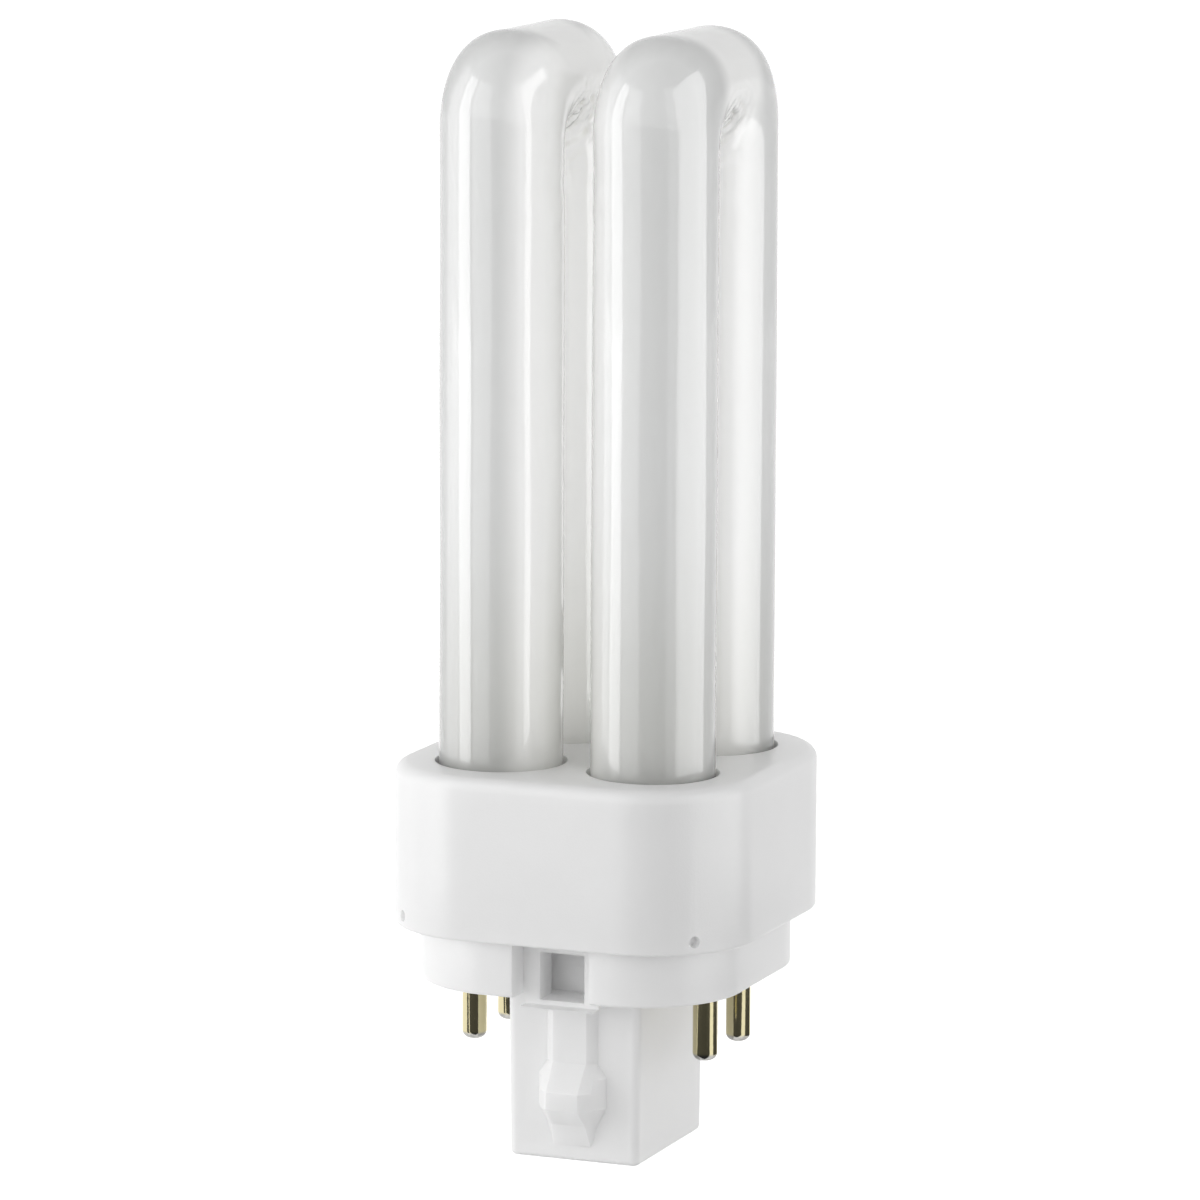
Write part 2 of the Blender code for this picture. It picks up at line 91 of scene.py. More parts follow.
class GlassSettings(PropertyGroup):
    tube_diameter: length("Tube diameter", "Outside diameter of a leg", 11.5)
    shoulder_radius: length("Shoulder radius", "Outer bend radius of a U tube", 7.5)
    crotch_depth: length("Crotch depth", "From the top of the glass to the inner bend", 10.0)
    crotch_pinch: number("Crotch pinch", "Share of its width that the tube loses at the inner bend", 0.16)
    fold_depth: length("Fold depth", "Depth of the folds that the bending leaves at the crotch", 0.24)
    fold_pitch: length("Fold pitch", "From one fold to the next", 1.15)
    fold_reach: length("Fold reach", "How far the folds run out from the crotch", 2.7)
    waviness: length("Waviness", "Depth of the slow waves along the drawn glass", 0.07)
    ripple_depth: length("Ripple depth", "Depth of the ripples under the crotch", 0.16)
    bridge_diameter: length("Bridge diameter", "Tube that joins the two back legs", 5.6)
    bridge_flare: length("Bridge flare", "How far the bridge widens where it meets a leg", 0.8)
    bridge_flare_reach: length("Bridge flare reach", "Length over which the bridge widens", 1.0)
    bridge_height: length("Bridge height", "Middle of the bridge above the housing", 9.0)
    seal_width: length("Seal width", "Broad side of a press seal", 10.0)
    seal_thickness: length("Seal thickness", "Thin side of a press seal", 2.6)
    seal_height: length("Seal height", "Flat part of a press seal", 3.5)
    seal_taper: length("Seal taper", "From the flat seal to the round leg", 2.5)
    blind_end_height: length("Closed end height", "Round closed end of a back leg", 4.0)
    seal_room: length("Seal room", "From the inner ends of the pins to the press seals", 1.6)
    opal: colour("Opal white", "Coated glass on the outer sides", (0.68, 0.685, 0.68))
    # Inner white is painted light: the flanks that face each other are painted much lighter than the outer
    # sides, standing in for light that passes through and between the tubes
    opal_painted_inner: colour("Inner painted white", "Coated glass on the flanks that face each other", (0.99, 0.99, 0.985))
    # Inner glow is painted light: a faint glow on the flanks that face each other, standing in for light that
    # passes between the legs
    painted_inner_glow: colour("Painted inner glow", "Light that passes between the legs", (0.06, 0.06, 0.056))
    # Fold tint is painted shade: a darker white painted into the bottom of the folds
    fold_painted_shade: colour("Fold painted shade", "White in the bottom of the folds", (0.48, 0.47, 0.42))
    opal_foot: colour("Foot tint", "Multiplies the white near the base", (0.80, 0.80, 0.78))
    roughness: number("Roughness", "Roughness of the coating under the glass", 0.35)


class PlasticSettings(PropertyGroup):
    skirt_corner: length("Skirt corner", "Corner radius of the housing", 10.0)
    skirt_wall: length("Skirt wall", "Wall of the housing", 1.6)
    skirt_corner_relief: length("Corner relief", "How much smaller the inner corner radius is", 0.1)
    skirt_top: length("Top plate", "Thickness of the housing's top", 1.6)
    skirt_edge_radius: length("Top edge radius", "Round edge of the housing's top", 1.2)
    skirt_rim_radius: length("Rim radius", "Round edge of the housing's rim", 0.3)
    leg_clearance: length("Leg clearance", "Gap round a leg in the housing's top", 0.35)
    stake_diameter: length("Stake diameter", "Width of a stake mark", 1.1)
    stake_depth: length("Stake depth", "Depth of a stake mark", 0.4)
    stake_height: length("Stake height", "Stake mark above the rim", 1.2)
    shell_clearance: length("Shell clearance", "Gap between the housing and the cap", 0.3)
    cap_wall: length("Cap wall", "Wall of the cap", 1.6)
    cap_floor: length("Cap floor", "Floor of the cap", 1.6)
    neck_edge_radius: length("Neck edge radius", "Round lower edge of the neck", 0.3)
    post_width: length("Post width", "Centre post across the lamp", 13.1)
    post_depth: length("Post depth", "Centre post from rib to rib", 16.6)
    post_height: length("Post height", "Centre post below the neck", 16.6)
    post_corner: length("Post corner", "Corner radius of the post", 0.8)
    post_edge_radius: length("Post end radius", "Round edge of the post's end", 0.5)
    post_draft: length("Post draft", "How much narrower each side of the post is at its end", 0.12)
    post_wall: length("Post wall", "Wall of the hollow post", 1.5)
    keyway_width: length("Keyway width", "Recess above a rib", 7.6)
    keyway_depth: length("Keyway depth", "Recess above a rib", 2.8)
    keyway_offset: length("Keyway offset", "Recess beside the middle of the neck", 0.7)
    keyway_block: length("Keyway block", "Thickness of the wall behind the recess", 2.9)
    keyway_drop: length("Keyway drop", "How far the recess floor runs down past the neck", 1.1)
    window_width: length("Window width", "Window in the recess", 4.4)
    window_height: length("Window height", "Window in the recess", 4.45)
    window_sill: length("Window sill", "Sill of the window above the rib", 0.55)
    chamber_wall: length("Chamber wall", "Wall beside the space behind the window", 0.5)
    rib_width: length("Rib width", "Front of a rib", 3.3)
    rib_shoulder_width: length("Rib shoulder", "Rib over its bevelled shoulders", 4.1)
    rib_root_width: length("Rib root", "Rib where it meets the post", 5.0)
    rib_depth: length("Rib depth", "How far a rib stands out", 0.8)
    rib_shoulder_depth: length("Rib shoulder depth", "How far the shoulders of a rib stand out", 0.5)
    bump_width: length("Bump width", "Front of a snap bump", 3.15)
    bump_shoulder_width: length("Bump shoulder", "Snap bump over its bevelled shoulders", 5.1)
    bump_root_width: length("Bump root", "Snap bump where it meets the post", 6.7)
    bump_depth: length("Bump depth", "How far a snap bump stands out", 2.75)
    bump_shoulder_depth: length("Bump shoulder depth", "How far the shoulders of a bump stand out", 1.7)
    bump_start: length("Bump start", "Upper end of a snap bump's slope", 9.45)
    bump_full_width: length("Bump full width", "Where the flanks of a bump reach their width", 8.1)
    bump_top: length("Bump top", "Upper end of a snap bump's peak", 6.95)
    bump_bottom: length("Bump bottom", "Lower end of a snap bump's peak", 5.3)
    bump_knee: length("Bump knee", "Where the lower slope of a bump gets flatter", 3.6)
    bump_knee_depth: length("Bump knee depth", "How far the bump stands out there", 1.0)
    bump_end: length("Bump end", "Lower end of a snap bump", 1.5)
    bump_end_width: length("Bump end width", "Snap bump at its lower end", 3.7)
    bump_end_depth: length("Bump end depth", "How far the bump stands out at its lower end", 0.12)
    boss_diameter: length("Boss diameter", "Boss that carries a pin", 5.0)
    boss_height: length("Boss height", "Boss above the cap's floor", 1.8)
    housing_white: colour("Housing white", "Plastic of the housing", (0.88, 0.88, 0.88))
    cap_white: colour("Cap white", "Plastic of the cap", (0.95, 0.95, 0.95))


class PinSettings(PropertyGroup):
    diameter: length("Pin diameter", "Contact pin", 2.3)
    tip_radius: length("Tip radius", "Round edge of a pin's tip", 0.75)
    clearance: length("Pin clearance", "Gap round a pin in its hole", 0.3)
    collar_diameter: length("Collar diameter", "Collar that sits on the boss", 3.6)
    collar_height: length("Collar height", "Collar that sits on the boss", 0.6)
    tail_diameter: length("Tail diameter", "Thin inner end of a pin", 2.0)
    bore_diameter: length("Bore diameter", "Bore for the lead wire", 1.1)
    bore_depth: length("Bore depth", "Bore for the lead wire", 1.8)
    brass: colour("Brass", "Polished brass", (0.62, 0.56, 0.35))
    tip_grey: colour("Tip grey", "Crimped and tinned end of a pin", (0.50, 0.49, 0.47))


class StudioSettings(PropertyGroup):
    camera_azimuth: angle("Camera azimuth", "Turn of the view about the lamp", 21.969)
    camera_pitch: angle("Camera pitch", "How far the view looks down", 9.644)
    camera_roll: angle("Camera roll", "Tilt of the picture", 0.239)
    camera_distance: length("Camera distance", "Level distance from the lamp's axis", 635.98)
    camera_height: length("Camera height", "Height above the floor", 159.26)
    focal_pixels: number("Focal length", "In pixels of a picture 1200 pixels wide", 7007.3)
    axis_offset_pixels: number("Axis offset", "Lamp's axis to the right of the picture's middle", 8.29)
    floor_size: length("Floor size", "Side of the square floor", 6000.0)
    floor_white: colour("Floor white", "Pale floor", (0.80, 0.80, 0.80))
    front_light: number("Front light", "Brightness of the studio on the camera's side", 0.88)
    back_light: number("Back light", "Brightness of the studio behind the lamp", 1.18)
    overhead_light: number("Overhead light", "Brightness of the studio above the lamp", 0.5)


class LampSettings(PropertyGroup):
    glass: PointerProperty(type=GlassSettings)
    plastic: PointerProperty(type=PlasticSettings)
    pins: PointerProperty(type=PinSettings)
    studio: PointerProperty(type=StudioSettings)


# Outlines and meshes

tube_segments = 128
bend_steps = 110
corner_steps = 20
edge_steps = 8
hole_segments = 96
pin_segments = 48
cutter_overrun = 1.0 * MM
weld = 0.4 * MM


def rounded_rectangle(width, depth, corner, steps=corner_steps):
    """Outline of a rectangle with round corners, counter-clockwise."""
    points = []
    for quarter in range(4):
        middle = quarter * pi / 2 + pi / 4
        cx = (width / 2 - corner) * (1 if cos(middle) > 0 else -1)
        cy = (depth / 2 - corner) * (1 if sin(middle) > 0 else -1)
        for i in range(steps + 1):
            angle = (quarter + i / steps) * pi / 2
            points.append((cx + corner * cos(angle), cy + corner * sin(angle)))
    return points


def circle(radius, segments=hole_segments):
    angles = [2 * pi * i / segments for i in range(segments)]
    return [(radius * cos(a), radius * sin(a)) for a in angles]


def lift(outline, level, place=(0.0, 0.0)):
    return [(x + place[0], y + place[1], level) for x, y in outline]


def prism(outline, bottom, top, place=(0.0, 0.0)):
    return [lift(outline, bottom, place), lift(outline, top, place)]


def box(low, high):
    (x0, y0, z0), (x1, y1, z1) = low, high
    return prism([(x0, y0), (x1, y0), (x1, y1), (x0, y1)], z0, z1)


def edge_profile(radius):
    """Inset and height of each step round an edge, from the flat end to the wall."""
    angles = [i / edge_steps * pi / 2 for i in range(edge_steps + 1)]
    return [(radius * (1 - sin(a)), radius * (1 - cos(a))) for a in angles]


def rounded_block(width, depth, corner, bottom, top, bottom_edge=0.0, top_edge=0.0, draft=0.0):
    """Rings of a block with round corners, round end edges and, with a draft, a narrower lower end."""

    def ring(inset, level):
        cut = inset + draft * (top - level) / (top - bottom)
        radius = corner - min(inset, corner / 2)
        return lift(rounded_rectangle(width - 2 * cut, depth - 2 * cut, radius), level)

    rings = [ring(0.0, bottom)]
    if bottom_edge:
        rings = [ring(inset, bottom + rise) for inset, rise in edge_profile(bottom_edge)]
    upper = [ring(0.0, top)]
    if top_edge:
        upper = [ring(inset, top - rise) for inset, rise in edge_profile(top_edge)]
    return rings + upper[::-1]


def half_turn_pair(rings):
    """The rings of a form on the front, and the same form half a turn round the lamp's axis."""
    return [rings, [[(-x, -y, z) for x, y, z in ring] for ring in rings]]


def mesh_of_lofts(name, lofts):
    """Mesh of closed skins, each over a stack of rings with equal point counts."""
    bm = bmesh.new()
    for rings in lofts:
        rows = [[bm.verts.new(point) for point in ring] for ring in rings]
        for lower, upper in zip(rows, rows[1:]):
            for i in range(len(lower)):
                j = (i + 1) % len(lower)
                bm.faces.new((lower[i], lower[j], upper[j], upper[i]))
        bm.faces.new(rows[0][::-1])
        bm.faces.new(rows[-1])
    bmesh.ops.recalc_face_normals(bm, faces=bm.faces)
    mesh = bpy.data.meshes.new(name)
    bm.to_mesh(mesh)
    bm.free()
    return mesh


def add_object(name, data):
    obj = bpy.data.objects.new(name, data)
    bpy.context.collection.objects.link(obj)
    return obj


def combine(obj, operation, lofts, solver="EXACT"):
    """Joins the lofts to the object or cuts them out of it, and keeps the result as its mesh."""
    tool = add_object("tool", mesh_of_lofts("tool", lofts))
    modifier = obj.modifiers.new("combine", "BOOLEAN")
    modifier.operation = operation
    modifier.solver = solver
    modifier.object = tool
    keep_result(obj)
    bpy.data.objects.remove(tool, do_unlink=True)


def keep_result(obj):
    """Applies the object's modifiers."""
    graph = bpy.context.evaluated_depsgraph_get()
    mesh = bpy.data.meshes.new_from_object(obj.evaluated_get(graph))
    obj.modifiers.clear()
    obj.data = mesh


def soften_edges(obj, width):
    """Rounds the edges that the cuts left sharp."""
    bevel = obj.modifiers.new("soft edges", "BEVEL")
    bevel.width = width
    bevel.segments = 3
    bevel.limit_method = "ANGLE"
    bevel.angle_limit = radians(38)
    keep_result(obj)


def finish_piece(obj, nodes, material, sharp_angle=35):
    """Gives a piece its material and shading, ties it to its body and hides the nodes that it replaces."""
    obj.data.materials.clear()
    obj.data.materials.append(material)
    obj.data.shade_smooth()
    obj.data.set_sharp_from_angle(angle=radians(sharp_angle))
    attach(obj, BODY)
    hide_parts(*nodes)


# Glass tubes

seal_squareness = 0.6
# End of a press seal: its thickness, width and height, as shares of the seal's thickness, width and thickness
seal_end_thickness, seal_end_width, seal_end_height = 0.8, 0.96, 0.12
taper_steps = 12
dome_steps = 16
bridge_steps = 60
bridge_segments = 48
# Rings of a leg lie closer together just under the bend, where the folds are
coarse_step = 2.0 * MM
fine_step = 0.3 * MM
fine_length = 8 * MM

# Size of the waves and of the ripples across and along the lamp, in millimetres
wave_size = (4.5, 22.0)
ripple_size = (3.0, 2.4)
# The ripples are deepest this far under the crotch, and fade over these reaches up, down and outwards
ripple_drop = 4 * MM
ripple_height_reach = 5 * MM
ripple_side_reach = 4 * MM
# Folds: their middle above the crotch, the size of their swirls and crumples, and how much they count
fold_rise = 1.0 * MM
swirl_size, swirl_share = 1.6 * MM, 2.2
crumple_size = 0.8 * MM
arc_share = 0.6
faintest_fold = 0.01
fold_sinking = 0.6
# Gain and start of the shade painted into the bottom of the folds
fold_shade_gain, fold_shade_start = 1.2, 0.15


def tube_section(side_x, inner, outer, half_width, pinch=0.0, squareness=0.0):
    """Ring from the inner to the outer point of a U tube's section, seen in the plane of the U."""
    middle = ((inner[0] + outer[0]) / 2, (inner[1] + outer[1]) / 2)
    reach = ((outer[0] - inner[0]) / 2, (outer[1] - inner[1]) / 2)
    ring = []
    for i in range(tube_segments):
        angle = 2 * pi * i / tube_segments
        across, along = sin(angle), cos(angle)
        if squareness:
            swell = 1 / max(abs(across), abs(along))
            across *= 1 + (swell - 1) * squareness
            along *= 1 + (swell - 1) * squareness
        inward = (1 - along) / 2
        width = half_width * (1 - pinch * inward * inward)
        ring.append((side_x + across * width, middle[0] + along * reach[0], middle[1] + along * reach[1]))
    return ring


def bend_pair(share, leg_pitch, settings):
    """Crotch point and shoulder point, in (y, z), at a share of the way over the bend."""
    radius = settings.shoulder_radius
    tube_radius = settings.tube_diameter / 2
    flat_half = leg_pitch / 2 + tube_radius - radius
    arc = pi / 2 * radius
    distance = share * 2 * (arc + flat_half)
    if distance < arc:
        angle = pi - distance / radius
        outer = (-flat_half + radius * cos(angle), sin(angle))
    elif distance < arc + 2 * flat_half:
        outer = (-flat_half + distance - arc, 1.0)
    else:
        angle = pi / 2 - (distance - arc - 2 * flat_half) / radius
        outer = (flat_half + radius * cos(angle), sin(angle))
    outer = (outer[0], glass_high.z - radius + radius * outer[1])
    gap_half = leg_pitch / 2 - tube_radius
    turn = pi * (1 - share)
    inner = (gap_half * cos(turn), glass_high.z - settings.crotch_depth - gap_half + gap_half * sin(turn))
    return inner, outer


def leg_section(side_x, leg_y, level, thickness, width, squareness=0.0):
    """Level section of a leg; its inner point faces the other leg of the U."""
    inward = 1 if leg_y < 0 else -1
    inner = (leg_y + inward * thickness / 2, level)
    outer = (leg_y - inward * thickness / 2, level)
    return tube_section(side_x, inner, outer, width / 2, squareness=squareness)


def leg_levels(bottom, top, step):
    count = max(2, round((top - bottom) / step))
    return [bottom + (top - bottom) * i / count for i in range(1, count)]


def u_tube(side_x, leg_pitch, settings):
    """Rings of one U tube, from the seal of its front leg over the bend to its closed back leg."""
    front, back = -leg_pitch / 2, leg_pitch / 2
    diameter = settings.tube_diameter
    seal_bottom = pin_high.z + settings.seal_room
    seal_top = seal_bottom + settings.seal_height
    leg_end = seal_top + settings.seal_taper
    thickness, width = settings.seal_thickness, settings.seal_width
    end_top = seal_bottom + thickness * seal_end_height
    end_thickness, end_width = thickness * seal_end_thickness, width * seal_end_width
    rings = [
        leg_section(side_x, front, seal_bottom, end_thickness, end_width, seal_squareness),
        leg_section(side_x, front, end_top, thickness, width, seal_squareness),
        leg_section(side_x, front, seal_top, thickness, width, seal_squareness),
    ]
    for i in range(1, taper_steps):
        share = sin(pi / 2 * i / taper_steps)
        rings.append(leg_section(
            side_x, front, seal_top + settings.seal_taper * i / taper_steps,
            thickness + (diameter - thickness) * share, width + (diameter - width) * share,
            seal_squareness * (1 - share),
        ))
    rings.append(leg_section(side_x, front, leg_end, diameter, diameter))
    bend_start = bend_pair(0.0, leg_pitch, settings)[0][1]
    fine_start = bend_start - fine_length
    levels = leg_levels(leg_end, fine_start, coarse_step) + leg_levels(fine_start, bend_start, fine_step)
    rings += [leg_section(side_x, front, level, diameter, diameter) for level in levels]
    for i in range(bend_steps + 1):
        share = i / bend_steps
        inner, outer = bend_pair(share, leg_pitch, settings)
        pinch = settings.crotch_pinch * sin(pi * share) ** 2
        rings.append(tube_section(side_x, inner, outer, diameter / 2, pinch))
    rings += [leg_section(side_x, back, level, diameter, diameter) for level in levels[::-1]]
    for i in range(dome_steps, 0, -1):
        angle = pi / 2 * i / dome_steps
        across = diameter * sin(angle)
        level = leg_end - settings.blind_end_height * cos(angle)
        rings.append(leg_section(side_x, back, level, across, across))
    return rings


def bridge_rings(leg_pitch, settings):
    """Rings of the short tube that joins the two back legs, flared where it meets them."""
    level = housing_high.z + settings.bridge_height
    start = leg_pitch / 2 - settings.tube_diameter / 4
    face = leg_pitch / 2 - settings.tube_diameter / 2
    rings = []
    for i in range(bridge_steps + 1):
        x = start * (2 * i / bridge_steps - 1)
        share = min(1.0, abs(abs(x) - face) / settings.bridge_flare_reach)
        flare = settings.bridge_flare * cos(pi / 2 * share) ** 2
        outline = circle(settings.bridge_diameter / 2 + flare, bridge_segments)
        rings.append([(x, leg_pitch / 2 + y, level + z) for y, z in outline])
    return rings


def stretched_noise(place, across, along):
    """Noise at a place on the glass, with its own size across and along the lamp, in millimetres."""
    return noise.noise(Vector((place.x / across, place.y / across, place.z / along)) / MM)


def press_folds(obj, settings):
    """Sinks slow waves, the ripples under each crotch and the curved folds beside it into the glass.

    The point attribute "fold" tells the material how deep in a fold each point lies, and the material paints
    shade there.
    """
    crotch_level = glass_high.z - settings.crotch_depth
    normals = [vertex.normal.copy() for vertex in obj.data.vertices]
    folds = obj.data.attributes.new("fold", "FLOAT", "POINT")
    for vertex, normal, fold in zip(obj.data.vertices, normals, folds.data):
        place = vertex.co.copy()
        wave = stretched_noise(place, *wave_size)
        vertex.co = place + normal * (settings.waviness * (wave - 0.5))
        below = (place.z - crotch_level + ripple_drop) / ripple_height_reach
        inward = min(abs(place.x), abs(place.y)) / ripple_side_reach
        ripple = stretched_noise(place, *ripple_size)
        vertex.co += normal * (settings.ripple_depth * exp(-below * below - inward * inward) * (ripple - 0.5))
        # The two tubes differ in the folds' middle, share of crumple and place in the noise
        centre_y, crumple_share, noise_place = (-0.4, 0.5, 7.0) if place.x > 0 else (0.3, 1.2, 3.0)
        along = place.y - centre_y * MM
        up = place.z - crotch_level - fold_rise
        distance = sqrt(along * along + up * up)
        near = exp(-((distance / settings.fold_reach) ** 2))
        if near < faintest_fold:
            continue
        swirl = noise.noise(place / swirl_size + Vector((0.0, noise_place, 0.0)))
        arc = cos(2 * pi * distance / settings.fold_pitch + swirl_share * swirl)
        crumple = noise.noise(place / crumple_size)
        share = arc_share * arc + crumple_share * crumple
        vertex.co += normal * (settings.fold_depth * near * (share - fold_sinking))
        fold.value = min(1.0, max(0.0, fold_shade_gain * near * (-share - fold_shade_start)))


class LAMP_OT_glass(Operator):
    """Make the two opal U tubes with their folded crotches"""

    bl_idname = "lamp.glass"
    bl_label = "Glass tubes"

    def execute(self, context):
        settings = context.scene.lamp.glass
        leg_pitch = 2 * glass_high.x - settings.tube_diameter
        tubes = [u_tube(side * leg_pitch / 2, leg_pitch, settings) for side in (-1, 1)]
        obj = add_object("opal_tubes", mesh_of_lofts("opal_tubes", tubes))
        combine(obj, "UNION", [bridge_rings(leg_pitch, settings)], "MANIFOLD")
        press_folds(obj, settings)
        finish_piece(obj, ["discharge_tube"], opal_glass_material(settings))
        return {"FINISHED"}


# Plastic base

# Cone of a stake mark: places along it in stake depths, from inside out, and widths in stake diameters
stake_cone = ((-1.8, 0.7), (1.0, 1.15))
stake_segments = 32
cap_edge_width = 0.07 * MM


def leg_places(leg_pitch):
    return [(sx * leg_pitch / 2, sy * leg_pitch / 2) for sx in (-1, 1) for sy in (-1, 1)]


def stake_cones(settings):
    """Cones that sink a stake mark into each corner of the skirt, near its rim."""
    corner_centre = housing_high.x - settings.skirt_corner
    level = housing_low.z + settings.stake_height
    cones = []
    for quarter in range(4):
        angle = pi / 4 + quarter * pi / 2
        outward = Vector((cos(angle), sin(angle), 0.0))
        sideways = Vector((-sin(angle), cos(angle), 0.0))
        centre = Vector((
            corner_centre * (1 if cos(angle) > 0 else -1),
            corner_centre * (1 if sin(angle) > 0 else -1),
            level,
        ))
        rings = []
        for depth, widening in stake_cone:
            middle = centre + outward * (settings.skirt_corner + depth * settings.stake_depth)
            outline = circle(widening * settings.stake_diameter / 2, stake_segments)
            rings.append([middle + sideways * x + Vector((0.0, 0.0, z)) for x, z in outline])
        cones.append(rings)
    return cones


class LAMP_OT_housing(Operator):
    """Make the upper shell of the base, with its leg holes and stake marks"""

    bl_idname = "lamp.housing"
    bl_label = "Housing"

    def execute(self, context):
        lamp = context.scene.lamp
        settings = lamp.plastic
        width = 2 * housing_high.x
        bottom, top = housing_low.z, housing_high.z
        outer = rounded_block(
            width, width, settings.skirt_corner, bottom, top, settings.skirt_rim_radius,
            settings.skirt_edge_radius,
        )
        obj = add_object("housing_shell", mesh_of_lofts("housing_shell", [outer]))
        inner_width = width - 2 * settings.skirt_wall
        hollow = rounded_block(
            inner_width, inner_width, settings.skirt_corner - settings.skirt_corner_relief,
            bottom - cutter_overrun, top - settings.skirt_top,
        )
        combine(obj, "DIFFERENCE", [hollow])
        leg_pitch = 2 * glass_high.x - lamp.glass.tube_diameter
        hole = circle(lamp.glass.tube_diameter / 2 + settings.leg_clearance)
        low, high = top - settings.skirt_top - cutter_overrun, top + cutter_overrun
        combine(obj, "DIFFERENCE", [prism(hole, low, high, place) for place in leg_places(leg_pitch)])
        combine(obj, "DIFFERENCE", stake_cones(settings))
        material = plastic_material("housing_plastic", settings.housing_white)
        finish_piece(obj, ["base_housing"], material)
        return {"FINISHED"}


def rib_rings(settings):
    """Rings of the rib on the front of the post, from its top down to the end of its snap bump."""

    def section(level, widths, depth, shoulder_depth):
        taper = settings.post_draft * (settings.post_height - level) / settings.post_height
        face = settings.post_depth / 2 - taper
        front, shoulder, root = [width / 2 for width in widths]
        right = [
            (root, -face + weld),
            (root, -face),
            (shoulder, -face - shoulder_depth),
            (front, -face - depth),
        ]
        left = [(-x, y) for x, y in right]
        return [(x, y, level) for x, y in left + right[::-1]]

    s = settings
    top = s.post_height - s.keyway_drop + weld / 2
    rib_widths = (s.rib_width, s.rib_shoulder_width, s.rib_root_width)
    bump_widths = (s.bump_width, s.bump_shoulder_width, s.bump_root_width)
    end_widths = (s.bump_end_width, s.bump_end_width, s.bump_end_width)
    slope_share = (s.bump_start - s.bump_full_width) / (s.bump_start - s.bump_top)
    slope_depth = s.rib_depth + (s.bump_depth - s.rib_depth) * slope_share
    slope_shoulder = s.rib_shoulder_depth + (s.bump_shoulder_depth - s.rib_shoulder_depth) * slope_share
    knee_shoulder = s.bump_knee_depth * s.rib_shoulder_depth / s.rib_depth
    return [
        section(top, rib_widths, s.rib_depth, s.rib_shoulder_depth),
        section(s.bump_start, rib_widths, s.rib_depth, s.rib_shoulder_depth),
        section(s.bump_full_width, bump_widths, slope_depth, slope_shoulder),
        section(s.bump_top, bump_widths, s.bump_depth, s.bump_shoulder_depth),
        section(s.bump_bottom, bump_widths, s.bump_depth, s.bump_shoulder_depth),
        section(s.bump_knee, rib_widths, s.bump_knee_depth, knee_shoulder),
        section(s.bump_end, end_widths, s.bump_end_depth, s.bump_end_depth / 2),
    ]


def pin_places():
    centre = (pin_low + pin_high) / 2
    return [(sx * abs(centre.x), sy * abs(centre.y)) for sx in (-1, 1) for sy in (-1, 1)]


def keyway_pair(settings, half_width, front, back, bottom, top):
    """Box on the middle line of the front keyway, and the same box half a turn round the lamp's axis."""
    middle = settings.keyway_offset
    return half_turn_pair(box((middle - half_width, front, bottom), (middle + half_width, back, top)))


def cap_faces(settings):
    """Places in the front half that several forms of the cap share."""
    neck_face = -cap_high.x
    block_face = neck_face + settings.keyway_depth + settings.keyway_block
    sill = settings.post_height - settings.keyway_drop + settings.window_sill
    return neck_face, block_face, -settings.post_depth / 2, sill, sill + settings.window_height


def cap_additions(settings):
    """Forms that are joined to the hollow neck: keyway walls, post, ribs, keyway floors and pin bosses."""
    neck_face, block_face, post_face, sill, window_top = cap_faces(settings)
    neck_bottom = settings.post_height
    floor_level = neck_bottom + settings.cap_floor
    floor_middle = neck_bottom + settings.cap_floor / 2
    half_wide = settings.keyway_width / 2 + settings.cap_wall
    half = settings.keyway_width / 2 - weld / 2
    post = rounded_block(
        settings.post_width, settings.post_depth, settings.post_corner, 0.0, floor_middle,
        settings.post_edge_radius, 0.0, settings.post_draft,
    )
    boss = circle(settings.boss_diameter / 2, pin_segments)
    boss_top = floor_level + settings.boss_height
    return [
        keyway_pair(
            settings, half_wide, neck_face + settings.cap_wall / 2, block_face,
            floor_level - settings.cap_floor / 2, cap_high.z - weld,
        ),
        keyway_pair(
            settings, half, block_face - weld, post_face + settings.post_wall,
            neck_bottom, window_top + settings.chamber_wall,
        ),
        [post],
        half_turn_pair(rib_rings(settings)),
        keyway_pair(
            settings, half, neck_face + settings.keyway_depth / 2, post_face + settings.post_wall / 2,
            neck_bottom - settings.keyway_drop, floor_middle,
        ),
        [prism(boss, floor_level - settings.cap_floor / 2, boss_top, place) for place in pin_places()],
    ]


def cap_cuts(settings, pins):
    """Forms that are then cut out: keyways, post hollow, windows, spaces behind them and pin holes."""
    neck_face, block_face, post_face, sill, window_top = cap_faces(settings)
    neck_bottom = settings.post_height
    floor_level = neck_bottom + settings.cap_floor
    half_chamber = settings.keyway_width / 2 - weld / 2 - settings.chamber_wall
    post_hollow = rounded_block(
        settings.post_width - 2 * settings.post_wall, settings.post_depth - 2 * settings.post_wall,
        settings.post_corner / 2, settings.post_wall, floor_level + cutter_overrun,
    )
    hole = circle(pins.diameter / 2 + pins.clearance, pin_segments)
    low, high = neck_bottom - cutter_overrun, floor_level + settings.boss_height + cutter_overrun
    front = neck_face - cutter_overrun
    return [
        keyway_pair(
            settings, settings.keyway_width / 2, front, neck_face + settings.keyway_depth,
            neck_bottom - cutter_overrun, housing_low.z + cutter_overrun,
        ),
        [post_hollow],
        keyway_pair(settings, settings.window_width / 2, front, post_face, sill, window_top),
        keyway_pair(settings, half_chamber, block_face, post_face, sill, window_top),
        [prism(hole, low, high, place) for place in pin_places()],
    ]


